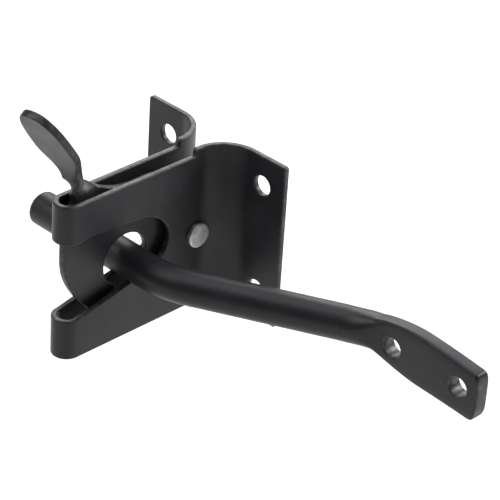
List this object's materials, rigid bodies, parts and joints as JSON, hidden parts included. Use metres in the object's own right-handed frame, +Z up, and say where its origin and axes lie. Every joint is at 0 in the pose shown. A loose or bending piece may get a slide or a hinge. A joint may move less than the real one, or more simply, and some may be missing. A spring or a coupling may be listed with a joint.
{
  "type": "gate latch",
  "caption": "Black self-locking gate latch: folded strap case with a funnel mouth, falling pawl with thumb lever, and a cranked round strike bar.",
  "frame": {"origin": "on the plane of the two screw flanges' back faces, which lies against the post, midway between them and at half the case's height", "axes": "+X along the strike bar towards the gate, +Y into the post, +Z up"},
  "size_m": [0.1792, 0.0876, 0.101],
  "materials": {
    "case_coat": "satin",
    "rivet_zinc": "dull zinc plate",
    "pawl_coat": "satin",
    "bar_coat": "satin"
  },
  "bodies": {
    "case": {"latch_case": "case_coat", "pivot_rivet": "rivet_zinc"},
    "pawl": {"latch_pawl": "pawl_coat"},
    "bar": {"strike_bar": "bar_coat"}
  },
  "joints": [
    {"name": "pawl_pivot", "type": "hinge", "parent": "case", "child": "pawl", "pos_m": [0, -0.0151, -0.0019], "axis": [-1, 0, 0], "range_deg": [0, 35]},
    {"name": "bar_slide", "type": "slide", "parent": "case", "child": "bar", "axis": [1, 0, 0], "range_m": [0, 0.06]}
  ]
}
